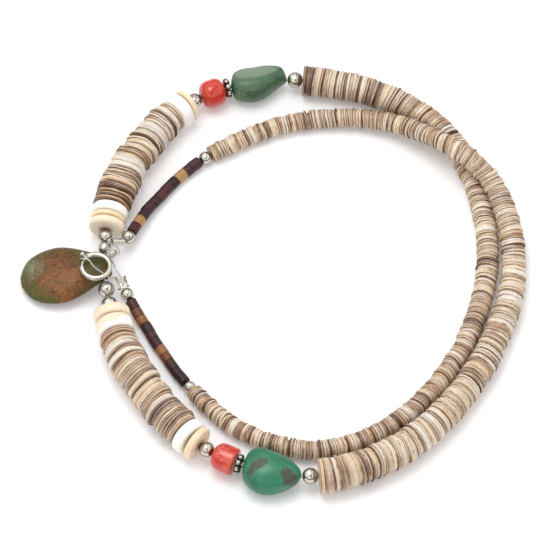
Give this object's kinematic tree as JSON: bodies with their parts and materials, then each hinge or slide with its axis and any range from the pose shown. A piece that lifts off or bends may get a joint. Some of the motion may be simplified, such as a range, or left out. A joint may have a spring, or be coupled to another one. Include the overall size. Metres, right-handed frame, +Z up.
{
  "type": "heishi bead necklace",
  "caption": "Graduated shell heishi necklace with turquoise, coral and silver beads, a stone drop and a spring ring clasp, lying in a double coil.",
  "frame": {"origin": "middle of the necklace's outline, on the surface that it lies on", "axes": "+Z up from the surface, the stone drop on the low X side, +Y away from the viewer of the picture"},
  "size_m": [0.1063, 0.1066, 0.0098],
  "materials": {
    "silver": "polished handmade silver with dark tarnish in its hollows",
    "oxidised_silver": "granulated silver, blackened between the balls",
    "clasp_silver": "bright polished silver",
    "crimp_metal": "pressed silver-plated tube",
    "bead_wire": "fine twisted beading wire",
    "green_turquoise": "waxed bright green stone with brown matrix",
    "grey_turquoise": "waxed grey-green stone with a dull top facet",
    "coral": "polished, slightly translucent orange-red coral",
    "cream_shell": "satin cream shell",
    "white_shell": "satin white shell",
    "thick_heishi": "satin white and cream shell discs, ground edges",
    "shell_heishi": "satin shell discs from cream to tan, grey and brown",
    "dark_heishi": "satin purple-brown beads, a few tan",
    "drop_stone": "polished mottled olive and rust-brown stone"
  },
  "bodies": {
    "necklace": {"clasp_ring": "clasp_silver", "left_body_heishi": "shell_heishi", "left_coral_bead": "coral", "left_cream_disc_1": "cream_shell", "left_cream_disc_2": "cream_shell", "left_crimp": "crimp_metal", "left_dark_heishi": "dark_heishi", "left_silver_bead_1": "silver", "left_silver_bead_2": "silver", "left_silver_bead_3": "silver", "left_silver_bead_4": "silver", "left_silver_bead_5": "silver", "left_silver_bead_6": "silver", "left_silver_spacer": "oxidised_silver", "left_thick_heishi": "thick_heishi", "left_turquoise_nugget": "green_turquoise", "left_white_disc_1": "white_shell", "left_white_disc_2": "white_shell", "left_wire_loop": "bead_wire", "right_body_heishi": "shell_heishi", "right_coral_bead": "coral", "right_cream_disc_1": "cream_shell", "right_cream_disc_2": "cream_shell", "right_cream_disc_3": "cream_shell", "right_crimp": "crimp_metal", "right_dark_heishi": "dark_heishi", "right_silver_bead_1": "silver", "right_silver_bead_2": "silver", "right_silver_bead_3": "silver", "right_silver_bead_4": "silver", "right_silver_bead_5": "silver", "right_silver_bead_6": "silver", "right_silver_spacer": "oxidised_silver", "right_thick_heishi": "thick_heishi", "right_turquoise_nugget": "grey_turquoise", "right_white_disc_1": "white_shell", "right_white_disc_2": "white_shell", "right_wire_loop": "bead_wire", "stone_drop": "drop_stone", "strand_wire": "bead_wire"},
    "clasp_bolt": {"clasp_bolt": "clasp_silver"}
  },
  "joints": [
    {"name": "clasp_bolt_turn", "type": "hinge", "parent": "necklace", "child": "clasp_bolt", "pos_m": [-0.03726, 0.0009, 0.0068], "axis": [0, 0, 1], "range_deg": [-50, 0], "stiffness_Nm_per_rad": 0.002, "springref_deg": 17.19}
  ]
}
